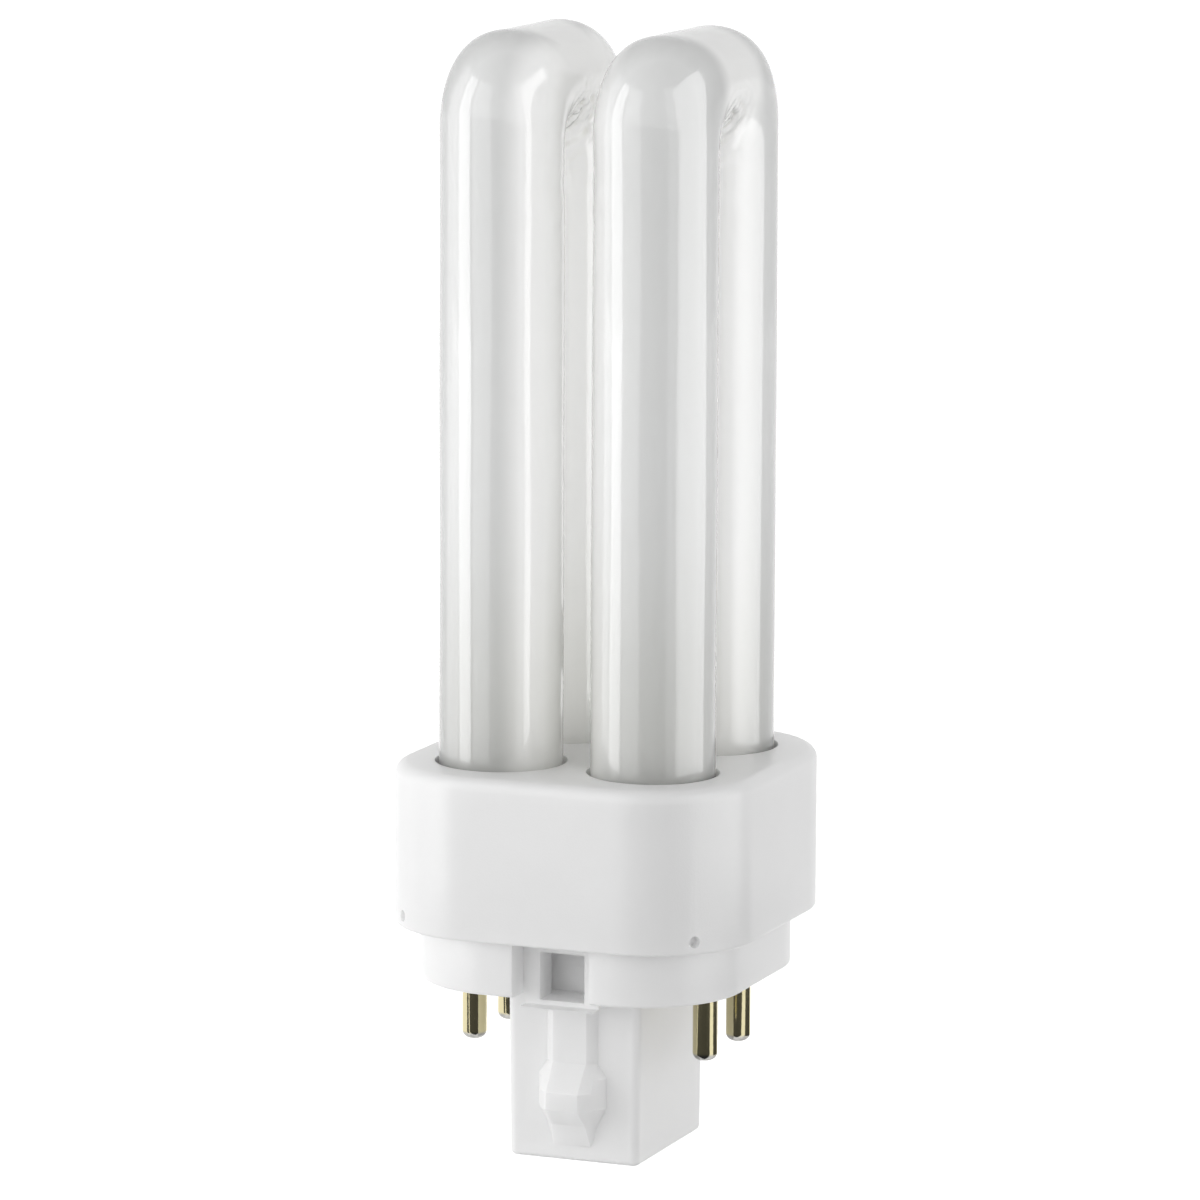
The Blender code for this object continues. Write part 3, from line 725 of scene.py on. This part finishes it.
class LAMP_OT_cap(Operator):
    """Make the lower shell of the base: neck, keyways, post, ribs and pin bosses"""

    bl_idname = "lamp.cap"
    bl_label = "Cap"

    def execute(self, context):
        lamp = context.scene.lamp
        settings = lamp.plastic
        width, top, wall = cap_high.x * 2, cap_high.z, settings.cap_wall
        corner = settings.skirt_corner - settings.skirt_corner_relief - settings.shell_clearance
        neck = rounded_block(width, width, corner, settings.post_height, top, settings.neck_edge_radius)
        obj = add_object("cap_shell", mesh_of_lofts("cap_shell", [neck]))
        hollow = rounded_block(
            width - 2 * wall, width - 2 * wall, corner - wall,
            settings.post_height + settings.cap_floor, top + cutter_overrun,
        )
        combine(obj, "DIFFERENCE", [hollow])
        for form in cap_additions(settings):
            combine(obj, "UNION", form)
        for form in cap_cuts(settings, lamp.pins):
            combine(obj, "DIFFERENCE", form)
        soften_edges(obj, cap_edge_width)
        material = plastic_material("cap_plastic", settings.cap_white)
        finish_piece(obj, ["base_cap"], material, sharp_angle=18)
        return {"FINISHED"}


# Contact pins and inner pieces

class LAMP_OT_pins(Operator):
    """Make the four brass contact pins"""

    bl_idname = "lamp.pins"
    bl_label = "Contact pins"

    def execute(self, context):
        lamp = context.scene.lamp
        settings = lamp.pins
        tip, tail_top = pin_low.z, pin_high.z
        boss_top = lamp.plastic.post_height + lamp.plastic.cap_floor + lamp.plastic.boss_height
        collar_bottom = boss_top + settings.clearance
        radius = settings.diameter / 2
        profile = []
        for i in range(edge_steps + 1):
            angle = pi / 2 * i / edge_steps
            across = radius - settings.tip_radius * (1 - sin(angle))
            profile.append((across, tip + settings.tip_radius * (1 - cos(angle))))
        profile += [
            (radius, collar_bottom),
            (settings.collar_diameter / 2, collar_bottom),
            (settings.collar_diameter / 2, collar_bottom + settings.collar_height),
            (settings.tail_diameter / 2, collar_bottom + settings.collar_height),
            (settings.tail_diameter / 2, tail_top),
            (settings.bore_diameter / 2, tail_top),
            (settings.bore_diameter / 2, tail_top - settings.bore_depth),
        ]
        material = pin_brass_material(settings, tip)
        for number, place in enumerate(pin_places(), start=1):
            rings = [lift(circle(r, pin_segments), level, place) for r, level in profile]
            obj = add_object(f"brass_pin_{number}", mesh_of_lofts(f"brass_pin_{number}", [rings]))
            finish_piece(obj, [f"contact_pin_{number}"], material)
        return {"FINISHED"}


class LAMP_OT_inner(Operator):
    """Finish the cement and the lead wires inside the base"""

    bl_idname = "lamp.inner"
    bl_label = "Inner pieces"

    def execute(self, context):
        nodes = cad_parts
        cement = cement_material()
        wire = lead_wire_material()
        for name, material in [("leg_cement", cement)] + [(f"lead_wire_{n}", wire) for n in range(1, 5)]:
            mesh = nodes[name].data
            mesh.materials.clear()
            mesh.materials.append(material)
        return {"FINISHED"}


# Shader node groups

def add_node(tree, kind, **values):
    node = tree.nodes.new(kind)
    for name, value in values.items():
        setattr(node, name, value)
    return node


def set_inputs(node, values):
    """Sets sockets of the node, given by their names."""
    for name, value in values.items():
        node.inputs[name].default_value = value


def connect(*pairs):
    """Links each output to the input that it is paired with."""
    for output, socket in pairs:
        output.id_data.links.new(output, socket)


def new_group(name, inputs, outputs):
    """Shader node group with float or colour sockets, and its input and output nodes."""
    tree = bpy.data.node_groups.new(name, "ShaderNodeTree")
    for socket_name, value in inputs:
        kind = "NodeSocketColor" if isinstance(value, tuple) else "NodeSocketFloat"
        socket = tree.interface.new_socket(name=socket_name, in_out="INPUT", socket_type=kind)
        socket.default_value = value
    for socket_name, kind in outputs:
        tree.interface.new_socket(name=socket_name, in_out="OUTPUT", socket_type=kind)
    return tree, add_node(tree, "NodeGroupInput"), add_node(tree, "NodeGroupOutput")


@cache
def moulded_grain_group():
    """Fine pitted surface of moulded or cast stuff: its height and its roughness."""
    tree, start, end = new_group(
        "moulded grain",
        [("Grain Scale", 4000.0), ("Lowest Roughness", 0.3), ("Highest Roughness", 0.4)],
        [("Height", "NodeSocketFloat"), ("Roughness", "NodeSocketFloat")],
    )
    place = add_node(tree, "ShaderNodeTexCoord")
    grain = add_node(tree, "ShaderNodeTexNoise")
    set_inputs(grain, {"Detail": 3.0})
    sheen = add_node(tree, "ShaderNodeTexNoise")
    set_inputs(sheen, {"Scale": 220.0})
    spread = add_node(tree, "ShaderNodeMapRange")
    set_inputs(spread, {"From Min": 0.3, "From Max": 0.7})
    connect(
        (place.outputs["Object"], grain.inputs["Vector"]),
        (start.outputs["Grain Scale"], grain.inputs["Scale"]),
        (place.outputs["Object"], sheen.inputs["Vector"]),
        (sheen.outputs["Fac"], spread.inputs["Value"]),
        (start.outputs["Lowest Roughness"], spread.inputs["To Min"]),
        (start.outputs["Highest Roughness"], spread.inputs["To Max"]),
        (grain.outputs["Fac"], end.inputs["Height"]),
        (spread.outputs["Result"], end.inputs["Roughness"]),
    )
    return tree


@cache
def colour_drift_group():
    """Slow drift between two colours over the surface."""
    tree, start, end = new_group(
        "colour drift",
        [("First Colour", (0.8,) * 3 + (1.0,)), ("Second Colour", (0.7,) * 3 + (1.0,)), ("Patch Scale", 80.0)],
        [("Colour", "NodeSocketColor")],
    )
    place = add_node(tree, "ShaderNodeTexCoord")
    patches = add_node(tree, "ShaderNodeTexNoise")
    set_inputs(patches, {"Detail": 4.0, "Roughness": 0.6})
    spread = add_node(tree, "ShaderNodeMapRange")
    set_inputs(spread, {"From Min": 0.35, "From Max": 0.65})
    connect(
        (place.outputs["Object"], patches.inputs["Vector"]),
        (start.outputs["Patch Scale"], patches.inputs["Scale"]),
        (patches.outputs["Fac"], spread.inputs["Value"]),
    )
    first, second = start.outputs["First Colour"], start.outputs["Second Colour"]
    connect((mix_colours(tree, spread.outputs["Result"], first, second), end.inputs["Colour"]))
    return tree


@cache
def height_fade_group():
    """Mask that rises from 0 at one height of the lamp to 1 at another."""
    tree, start, end = new_group(
        "height fade",
        [("Zero Height", 0.0), ("One Height", 0.1)],
        [("Mask", "NodeSocketFloat")],
    )
    place = add_node(tree, "ShaderNodeTexCoord")
    split = add_node(tree, "ShaderNodeSeparateXYZ")
    fade = add_node(tree, "ShaderNodeMapRange", interpolation_type="SMOOTHSTEP")
    connect(
        (place.outputs["Object"], split.inputs["Vector"]),
        (split.outputs["Z"], fade.inputs["Value"]),
        (start.outputs["Zero Height"], fade.inputs["From Min"]),
        (start.outputs["One Height"], fade.inputs["From Max"]),
        (fade.outputs["Result"], end.inputs["Mask"]),
    )
    return tree


@cache
def painted_inner_light_group():
    """Mask of the painted light on the glass: 1 on the flanks that face the middle planes of the lamp and 0 on
    its outer sides.
    """
    tree, start, end = new_group(
        "painted inner light",
        [("Inner Reach", 3.0 * MM), ("Outer Reach", 5.8 * MM)],
        [("Mask", "NodeSocketFloat")],
    )
    place = add_node(tree, "ShaderNodeTexCoord")
    split = add_node(tree, "ShaderNodeSeparateXYZ")
    nearest = add_node(tree, "ShaderNodeMath", operation="MINIMUM")
    connect((place.outputs["Object"], split.inputs["Vector"]))
    for axis, socket in zip("XY", nearest.inputs):
        reach = add_node(tree, "ShaderNodeMath", operation="ABSOLUTE")
        connect((split.outputs[axis], reach.inputs[0]), (reach.outputs["Value"], socket))
    fade = add_node(tree, "ShaderNodeMapRange", interpolation_type="SMOOTHSTEP")
    set_inputs(fade, {"To Min": 1.0, "To Max": 0.0})
    connect(
        (nearest.outputs["Value"], fade.inputs["Value"]),
        (start.outputs["Inner Reach"], fade.inputs["From Min"]),
        (start.outputs["Outer Reach"], fade.inputs["From Max"]),
        (fade.outputs["Result"], end.inputs["Mask"]),
    )
    return tree


def new_material(name, values):
    """Material of one Principled shader, with the plain values of its sockets."""
    material = bpy.data.materials.new(name)
    material.use_nodes = True
    shader = material.node_tree.nodes["Principled BSDF"]
    set_inputs(shader, values)
    return material, material.node_tree, shader


def add_group(tree, group, **values):
    """Places a shared group in a material; socket names are written small, with _ for each space."""
    node = add_node(tree, "ShaderNodeGroup", node_tree=group)
    set_inputs(node, {name.replace("_", " ").title(): value for name, value in values.items()})
    return node


def mix_colours(tree, factor, first, second, blend_type="MIX"):
    """Mix of two colours or colour outputs by a mask, or wholly where there is no mask."""
    blend = add_node(tree, "ShaderNodeMix", data_type="RGBA", blend_type=blend_type)
    set_inputs(blend, {"Factor": 1.0})
    if factor:
        connect((factor, blend.inputs["Factor"]))
    for socket, value in ((blend.inputs[6], first), (blend.inputs[7], second)):
        if isinstance(value, bpy.types.NodeSocket):
            connect((value, socket))
        else:
            socket.default_value = (*value, 1.0)
    return blend.outputs[2]


def add_drift(tree, first, second, patch_scale):
    """Colour that drifts slowly from one colour to another."""
    drift = add_group(
        tree, colour_drift_group(), first_colour=(*first, 1.0), second_colour=(*second, 1.0),
        patch_scale=patch_scale,
    )
    return drift.outputs["Colour"]


def add_bump(tree, shader, height, depth):
    bump = add_node(tree, "ShaderNodeBump")
    set_inputs(bump, {"Strength": 1.0, "Distance": depth})
    connect((height, bump.inputs["Height"]), (bump.outputs["Normal"], shader.inputs["Normal"]))


def add_grain(tree, shader, scale, roughness, depth):
    """Fine grain that changes the roughness between two values and dents the surface."""
    grain = add_group(
        tree, moulded_grain_group(), grain_scale=scale, lowest_roughness=roughness[0],
        highest_roughness=roughness[1],
    )
    connect((grain.outputs["Roughness"], shader.inputs["Roughness"]))
    add_bump(tree, shader, grain.outputs["Height"], depth)


def darker(shade, share):
    return [share * channel for channel in shade]


# Materials

# Painted shade on the glass: greys from where it faces the viewer, 0, to its outline, 1, standing in for the
# clear wall seen edge on
painted_outline_stops = ((0.28, 1.0), (0.45, 0.86), (0.70, 0.60), (1.0, 0.25))
foot_fade_height = 30 * MM
# Heights above a pin's tip between which its dull end turns to brass
tip_fade = (0.45 * MM, 0.8 * MM)


# Painted shade: a grey that darkens the glass's colour towards its outline
def glass_outline_painted_shade(tree):
    facing = add_node(tree, "ShaderNodeLayerWeight")
    set_inputs(facing, {"Blend": 0.5})
    ramp = add_node(tree, "ShaderNodeValToRGB")
    elements = ramp.color_ramp.elements
    while len(elements) < len(painted_outline_stops):
        elements.new(1.0)
    for element, (place, grey) in zip(elements, painted_outline_stops):
        element.position = place
        element.color = (grey, grey, grey, 1.0)
    connect((facing.outputs["Facing"], ramp.inputs["Fac"]))
    return ramp.outputs["Color"]


def opal_glass_material(settings):
    """Clear glass with a white coating inside: a glossy skin over a chalky white, with painted light between
    the tubes and painted shade in the folds and at the outline.
    """
    material, tree, shader = new_material("opal_glass", {
        "Roughness": settings.roughness,
        "IOR": 1.5,
        "Specular IOR Level": 0.25,
        "Coat Weight": 1.0,
        "Coat Roughness": 0.03,
        "Coat IOR": 1.5,
        "Subsurface Weight": 1.0,
        "Subsurface Radius": (1.0, 1.0, 1.0),
        "Subsurface Scale": 20 * MM,
        "Emission Strength": 1.0,
    })
    outer = add_drift(tree, settings.opal, darker(settings.opal, 0.97), 55.0)
    # Painted light: the flanks that face each other are painted lighter than the outer sides
    inner = add_group(tree, painted_inner_light_group()).outputs["Mask"]
    white = mix_colours(tree, inner, outer, settings.opal_painted_inner)
    foot = housing_high.z
    fade = add_group(tree, height_fade_group(), zero_height=foot, one_height=foot + foot_fade_height)
    tint = mix_colours(tree, fade.outputs["Mask"], settings.opal_foot, (1.0, 1.0, 1.0))
    shade = mix_colours(tree, None, white, tint, "MULTIPLY")
    # Painted shade that darkens the glass towards its outline
    shade = mix_colours(tree, None, shade, glass_outline_painted_shade(tree), "MULTIPLY")
    # Painted shade in the bottom of the folds
    folds = add_node(tree, "ShaderNodeAttribute", attribute_name="fold")
    shade = mix_colours(tree, folds.outputs["Fac"], shade, settings.fold_painted_shade)
    # Painted glow on the same flanks, standing in for light that passes between the legs
    glow = mix_colours(tree, inner, (0.0, 0.0, 0.0), settings.painted_inner_glow)
    connect((shade, shader.inputs["Base Color"]), (glow, shader.inputs["Emission Color"]))
    grain = add_group(tree, moulded_grain_group(), grain_scale=130.0)
    add_bump(tree, shader, grain.outputs["Height"], 0.02 * MM)
    return material


def grained_material(name, first, second, patch_scale, grain, values):
    """Material whose colour drifts between two shades, with a fine grain: its scale, roughness and depth."""
    material, tree, shader = new_material(name, values)
    connect((add_drift(tree, first, second, patch_scale), shader.inputs["Base Color"]))
    add_grain(tree, shader, *grain)
    return material


def plastic_material(name, white):
    """White moulded plastic with a fine matt grain."""
    return grained_material(name, white, darker(white, 0.985), 120.0, (5200.0, (0.28, 0.33), 0.012 * MM), {
        "IOR": 1.46,
        "Subsurface Weight": 1.0,
        "Subsurface Radius": (1.0, 1.0, 1.0),
        "Subsurface Scale": 0.7 * MM,
    })


def pin_brass_material(settings, tip):
    """Polished brass with a dull grey tip."""
    material, tree, shader = new_material("pin_brass", {"Metallic": 1.0})
    fade = add_group(tree, height_fade_group(), zero_height=tip + tip_fade[0], one_height=tip + tip_fade[1])
    dull = add_drift(tree, settings.tip_grey, darker(settings.tip_grey, 0.55), 1500.0)
    connect((mix_colours(tree, fade.outputs["Mask"], dull, settings.brass), shader.inputs["Base Color"]))
    add_grain(tree, shader, 2600.0, (0.08, 0.14), 0.006 * MM)
    return material


def cement_material():
    """Rough warm grey cement."""
    grain = (1800.0, (0.85, 0.95), 0.15 * MM)
    return grained_material("cement", (0.62, 0.60, 0.55), (0.45, 0.43, 0.39), 500.0, grain, {})


def lead_wire_material():
    """Drawn wire with a dull shine."""
    bright, dull, grain = (0.62, 0.61, 0.58), (0.50, 0.49, 0.46), (6000.0, (0.22, 0.36), 0.01 * MM)
    return grained_material("lead_wire", bright, dull, 900.0, grain, {"Metallic": 1.0})


# Studio. Every turn is in degrees from the camera's side, to the right as the camera sees it

# Soft lamps, which light the object and don't show in its gloss: name, turn and brightness
soft_lamps = (
    ("left_soft_lamp", -82.0, 3.6),
    ("front_soft_lamp", -40.0, 1.0),
    ("right_soft_lamp", 112.0, 1.2),
)
soft_lamp_distance, soft_lamp_width, soft_lamp_height = 0.6, 0.4, 0.19
# Light cards, which show only in the gloss: name, turn, width in metres and brightness
light_cards = (
    ("left_card", -69.0, 0.042, 3.5),
    ("left_side_card", -98.0, 0.05, 0.9),
    ("front_card", -38.0, 0.05, 1.4),
    ("right_card", 68.0, 0.115, 2.7),
    ("right_front_card", 30.0, 0.03, 1.0),
)
card_distance, card_height = 0.1, 0.18
# Dark cloths on the floor, which show only in the gloss: name, first and last turn, near and far end
dark_cloths = (
    ("front_cloth", -58, 44, 0.012, 1.6),
    ("right_cloth", 72, 122, 0.03, 0.125),
    ("left_cloth", -78, -64, 0.03, 0.125),
)
cloth_steps = 12
cloth_level = 0.0002
# The studio is brightest this far to the left of the point behind the object, and these shares set the change
bright_turn = 35
spread_start, spread_end = -0.8, 0.6
floor_glow = 0.72
picture_width = 1200
sensor_width = 36.0


def place_camera(settings):
    """Camera that sees the lamp as the photograph does, with the small step off the lamp's axis."""
    azimuth, pitch, roll = settings.camera_azimuth, settings.camera_pitch, settings.camera_roll
    turn = azimuth + atan(settings.axis_offset_pixels / settings.focal_pixels)
    place = Vector((
        sin(azimuth) * settings.camera_distance,
        -cos(azimuth) * settings.camera_distance,
        settings.camera_height,
    ))
    forward = Vector((-sin(turn) * cos(pitch), cos(turn) * cos(pitch), -sin(pitch)))
    right = Vector((cos(turn), sin(turn), 0.0))
    up = right.cross(forward)
    level_right = right * cos(roll) + up * sin(roll)
    level_up = up * cos(roll) - right * sin(roll)
    data = bpy.data.cameras.new("photo_camera")
    data.sensor_width = sensor_width
    data.lens = settings.focal_pixels / picture_width * sensor_width
    data.clip_end = 20.0
    camera = add_object("photo_camera", data)
    axes = Matrix((level_right, level_up, -forward)).transposed()
    camera.matrix_world = Matrix.Translation(place) @ axes.to_4x4()
    bpy.context.scene.camera = camera


def add_softbox(settings, name, turn, distance, width, height, brightness):
    """Upright soft lamp that stands on the floor and faces the lamp's axis."""
    azimuth = settings.camera_azimuth + radians(turn)
    back = Vector((sin(azimuth), -cos(azimuth), 0.0))
    data = bpy.data.lights.new(name, "AREA")
    data.shape = "RECTANGLE"
    data.size = width
    data.size_y = height
    data.energy = brightness * width * height * pi
    light = add_object(name, data)
    light.location = back * distance + Vector((0.0, 0.0, height / 2))
    light.rotation_euler = back.to_track_quat("Z", "Y").to_euler()
    light.visible_camera = False
    return light


def add_dark_cloth(settings, name, first_turn, last_turn, near, far):
    """Dark cloth that covers a sector of the floor round the lamp."""
    corners = []
    for i in range(cloth_steps + 1):
        azimuth = settings.camera_azimuth + radians(first_turn + (last_turn - first_turn) * i / cloth_steps)
        corners += [(sin(azimuth) * reach, -cos(azimuth) * reach, cloth_level) for reach in (near, far)]
    mesh = bpy.data.meshes.new(name)
    mesh.from_pydata(corners, [], [(i, i + 1, i + 3, i + 2) for i in range(0, 2 * cloth_steps, 2)])
    black = (0.03, 0.03, 0.03, 1.0)
    mesh.materials.append(new_material("dark_cloth", {"Base Color": black, "Roughness": 1.0})[0])
    cloth = add_object(name, mesh)
    cloth.visible_camera = False
    cloth.visible_diffuse = False
    cloth.visible_shadow = False


def seen_mask(tree):
    """1 for rays from the camera, from a reflection or through glass, and 0 for those that light the lamp."""
    path = add_node(tree, "ShaderNodeLightPath")
    mask = path.outputs["Is Camera Ray"]
    for name in ("Is Glossy Ray", "Is Transmission Ray"):
        highest = add_node(tree, "ShaderNodeMath", operation="MAXIMUM")
        connect((mask, highest.inputs[0]), (path.outputs[name], highest.inputs[1]))
        mask = highest.outputs["Value"]
    return mask


def white_world(settings):
    """White studio whose soft light is strongest behind the lamp, to the left, and weakest overhead."""
    world = bpy.data.worlds.new("white studio")
    bpy.context.scene.world = world
    world.use_nodes = True
    tree = world.node_tree
    azimuth = settings.camera_azimuth + radians(bright_turn)
    direction = add_node(tree, "ShaderNodeTexCoord")
    along_view = add_node(tree, "ShaderNodeVectorMath", operation="DOT_PRODUCT")
    along_view.inputs[1].default_value = (-sin(azimuth), cos(azimuth), 0.0)
    spread = add_node(tree, "ShaderNodeMapRange", interpolation_type="SMOOTHSTEP")
    set_inputs(spread, {"From Min": spread_start, "From Max": spread_end})
    split = add_node(tree, "ShaderNodeSeparateXYZ")
    connect(
        (direction.outputs["Generated"], along_view.inputs[0]),
        (along_view.outputs["Value"], spread.inputs["Value"]),
        (direction.outputs["Generated"], split.inputs["Vector"]),
    )
    front, back = (settings.front_light,) * 3, (settings.back_light,) * 3
    light = mix_colours(tree, spread.outputs["Result"], front, back)
    light = mix_colours(tree, split.outputs["Z"], light, (settings.overhead_light,) * 3)
    shade = mix_colours(tree, seen_mask(tree), light, (1.0, 1.0, 1.0))
    background = tree.nodes["Background"]
    connect((shade, background.inputs["Color"]))
    set_inputs(background, {"Strength": 1.0})


def floor_material(settings):
    """Pale floor that shows white but keeps the lamp's shadow."""
    material, tree, shader = new_material("pale_floor", {
        "Base Color": (*settings.floor_white, 1.0),
        "Roughness": 0.9,
        "Specular IOR Level": 0.0,
        "Emission Strength": 1.0,
    })
    glow = mix_colours(tree, seen_mask(tree), (0.0, 0.0, 0.0), (floor_glow,) * 3)
    connect((glow, shader.inputs["Emission Color"]))
    return material


class LAMP_OT_studio(Operator):
    """Make the pale floor, the soft lamps, cards and cloths, the white world and the camera"""

    bl_idname = "lamp.studio"
    bl_label = "Studio"

    def execute(self, context):
        settings = context.scene.lamp.studio
        side = settings.floor_size / 2
        corners = [(-side, -side, 0), (side, -side, 0), (side, side, 0), (-side, side, 0)]
        mesh = bpy.data.meshes.new("floor")
        mesh.from_pydata(corners, [], [(0, 1, 2, 3)])
        mesh.materials.append(floor_material(settings))
        floor = add_object("floor", mesh)
        for name, turn, brightness in soft_lamps:
            lamp = add_softbox(
                settings, name, turn, soft_lamp_distance, soft_lamp_width, soft_lamp_height, brightness,
            )
            lamp.visible_glossy = False
        for name, turn, width, brightness in light_cards:
            card = add_softbox(settings, name, turn, card_distance, width, card_height, brightness)
            card.visible_diffuse = False
        for cloth in dark_cloths:
            add_dark_cloth(settings, *cloth)
        white_world(settings)
        place_camera(settings)
        context.scene.view_settings.view_transform = "Standard"
        return {"FINISHED"}


class LAMP_PT_panel(Panel):
    """Sizes, colours and steps of the lamp"""

    bl_idname = "LAMP_PT_panel"
    bl_label = "Compact fluorescent lamp"
    bl_space_type = "VIEW_3D"
    bl_region_type = "UI"
    bl_category = "Lamp"

    def draw(self, context):
        lamp = context.scene.lamp
        for name in ("glass", "plastic", "pins", "studio"):
            settings = getattr(lamp, name)
            part = self.layout.box()
            part.label(text=name.title())
            for key in settings.__annotations__:
                part.prop(settings, key)
        for step in steps:
            self.layout.operator(step.bl_idname)


steps = [LAMP_OT_glass, LAMP_OT_housing, LAMP_OT_cap, LAMP_OT_pins, LAMP_OT_inner, LAMP_OT_studio]
classes = [
    GlassSettings, PlasticSettings, PinSettings, StudioSettings, LampSettings, *steps, LAMP_PT_panel,
]


def register():
    for cls in classes:
        bpy.utils.register_class(cls)
    bpy.types.Scene.lamp = PointerProperty(type=LampSettings)


def unregister():
    del bpy.types.Scene.lamp
    for cls in reversed(classes):
        bpy.utils.unregister_class(cls)


def main():
    register()
    bpy.ops.lamp.glass()
    bpy.ops.lamp.housing()
    bpy.ops.lamp.cap()
    bpy.ops.lamp.pins()
    bpy.ops.lamp.inner()
    bpy.ops.lamp.studio()


if __name__ == "__main__":
    main()
